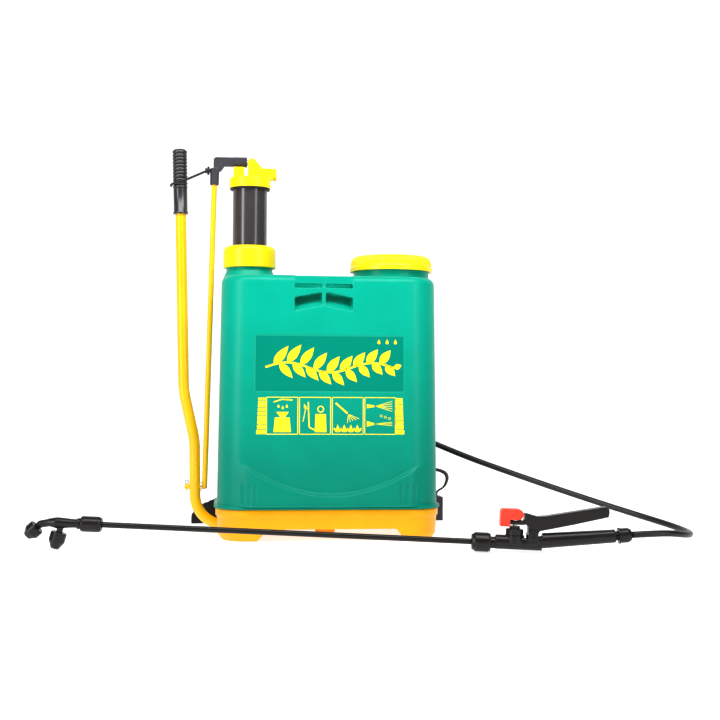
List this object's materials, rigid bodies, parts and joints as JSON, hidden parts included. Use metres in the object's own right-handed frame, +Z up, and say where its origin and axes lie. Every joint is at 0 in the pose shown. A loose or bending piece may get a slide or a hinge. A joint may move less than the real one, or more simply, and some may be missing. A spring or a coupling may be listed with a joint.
{
  "type": "backpack sprayer",
  "caption": "Hand-pumped backpack sprayer: tank on a hollow base, side pump lever with air chamber, shoulder straps, hose, trigger gun and lance with twin nozzles.",
  "frame": {"origin": "on the floor at the centre of the base", "axes": "+X towards the filler side, -Y the face away from the wearer, +Z up"},
  "size_m": [0.9273, 0.3715, 0.5762],
  "materials": {
    "tank_plastic": "blow-moulded polyethylene, satin gloss",
    "base_plastic": "moulded polypropylene, satin",
    "yellow_plastic": "moulded polypropylene, satin gloss",
    "painted_steel": "powder coated tube",
    "black_plastic": "moulded, satin",
    "lance_plastic": "drawn tube, satin gloss",
    "white_plastic": "moulded",
    "red_plastic": "moulded, gloss",
    "black_rubber": "moulded rubber",
    "hose_rubber": "extruded PVC hose, smooth",
    "steel": "zinc plated",
    "strap_fabric": "padded nylon",
    "strap_webbing": "woven polypropylene webbing"
  },
  "bodies": {
    "sprayer": {"tank": "tank_plastic", "base": "base_plastic", "base_screws": "steel", "strap_bar": "steel", "pump_collar": "yellow_plastic", "collar_wiper": "black_rubber", "pump_barrel": "white_plastic", "inlet_cage": "white_plastic", "inlet_ball": "steel", "lever_bushes": "black_plastic", "hose_run": "hose_rubber", "gun_hose_nut": "black_plastic", "gun_body": "black_plastic", "grip_filter": "white_plastic", "valve_cap": "black_plastic", "valve_spring": "steel", "trigger_pin": "steel", "front_nut": "black_plastic", "lance_seal": "black_rubber", "lance_pipe": "lance_plastic", "nozzle_nut": "black_plastic", "left_strap_pad": "strap_fabric", "right_strap_pad": "strap_fabric", "left_webbing": "strap_webbing", "right_webbing": "strap_webbing", "strap_buckles": "black_plastic"},
    "lever": {"pump_lever": "painted_steel", "lever_grip": "black_rubber", "lever_washer": "steel", "lever_split_pin": "steel", "crank_pin": "painted_steel", "crank_washer": "steel", "crank_cotter": "steel"},
    "plunger": {"air_chamber": "black_plastic", "chamber_ring": "black_rubber", "chamber_cap": "yellow_plastic", "riser_tube": "black_plastic", "piston_body": "white_plastic", "piston_cup": "black_rubber", "piston_nut": "white_plastic", "discharge_ball": "steel", "journal_pin": "steel", "outlet_nut": "black_plastic", "hose_drop": "hose_rubber"},
    "link": {"link_bracket": "black_plastic", "connecting_rod": "painted_steel", "lever_tie": "black_rubber"},
    "cap_seal": {"filler_gasket": "black_rubber", "vent_valve": "white_plastic"},
    "filler_cap": {"filler_cap": "yellow_plastic"},
    "strainer": {"filler_strainer": "white_plastic"},
    "trigger": {"trigger": "black_plastic"},
    "valve_stem": {"valve_stem": "steel", "valve_seal": "black_rubber"},
    "trigger_lock": {"trigger_lock": "red_plastic"},
    "nozzle_head": {"nozzle_body": "black_plastic"},
    "nozzle_cap_a": {"nozzle_cap_a": "black_plastic", "spray_disc_a": "white_plastic"},
    "nozzle_cap_b": {"nozzle_cap_b": "black_plastic", "spray_disc_b": "white_plastic"}
  },
  "joints": [
    {"name": "lever_swing", "type": "hinge", "parent": "sprayer", "child": "lever", "pos_m": [-0.1, 0, 0.015], "axis": [-1, 0, 0], "range_deg": [0, 90], "deforming": ["left_strap_pad"]},
    {"name": "pump_stroke", "type": "slide", "parent": "sprayer", "child": "plunger", "axis": [0, 0, -1], "range_m": [0, 0.062], "deforming": ["hose_drop"]},
    {"name": "link_swing", "type": "hinge", "parent": "plunger", "child": "link", "pos_m": [-0.1165, 0, 0.5588], "axis": [1, 0, 0], "range_deg": [0, 7.5]},
    {"name": "cap_lift", "type": "slide", "parent": "sprayer", "child": "cap_seal", "axis": [0, 0, 1], "range_m": [0, 0.2]},
    {"name": "cap_turn", "type": "hinge", "parent": "cap_seal", "child": "filler_cap", "pos_m": [0.0985, 0, 0.4], "axis": [0, 0, 1], "range_deg": [0, 360]},
    {"name": "strainer_lift", "type": "slide", "parent": "sprayer", "child": "strainer", "axis": [0, 0, 1], "range_m": [0, 0.091]},
    {"name": "trigger_squeeze", "type": "hinge", "parent": "sprayer", "child": "trigger", "pos_m": [0.26415, -0.21578, 0.02439], "axis": [0.109, 0.994, 0], "range_deg": [0, 8], "stiffness_Nm_per_rad": 2, "springref_deg": -14.32},
    {"name": "stem_lift", "type": "slide", "parent": "sprayer", "child": "valve_stem", "axis": [0.0389, -0.0043, 0.9992], "range_m": [0, 0.0041], "deforming": ["valve_spring"]},
    {"name": "lock_flip", "type": "hinge", "parent": "trigger", "child": "trigger_lock", "pos_m": [0.24433, -0.21361, 0.05179], "axis": [0.109, 0.994, 0], "range_deg": [0, 60]},
    {"name": "nozzle_turn", "type": "hinge", "parent": "sprayer", "child": "nozzle_head", "pos_m": [-0.34424, -0.14909, 0.03531], "axis": [0.9933, -0.1089, -0.0391], "range_deg": [-90, 90]},
    {"name": "nozzle_cap_a_turn", "type": "hinge", "parent": "nozzle_head", "child": "nozzle_cap_a", "pos_m": [-0.39851, -0.14314, 0.03395], "axis": [-0.744, 0.0816, -0.6632], "range_deg": [0, 360]},
    {"name": "nozzle_cap_b_turn", "type": "hinge", "parent": "nozzle_head", "child": "nozzle_cap_b", "pos_m": [-0.36969, -0.1463, 0.03331], "axis": [-0.2763, 0.0303, -0.9606], "range_deg": [0, 360]}
  ],
  "couplings": [
    {"joint": "pump_stroke", "follows": "lever_swing", "m_per_rad": 0.038419},
    {"joint": "link_swing", "follows": "lever_swing", "ratio": 0.074714},
    {"joint": "strainer_lift", "follows": "cap_lift", "ratio": 0.45},
    {"joint": "stem_lift", "follows": "trigger_squeeze", "m_per_rad": 0.027932}
  ]
}
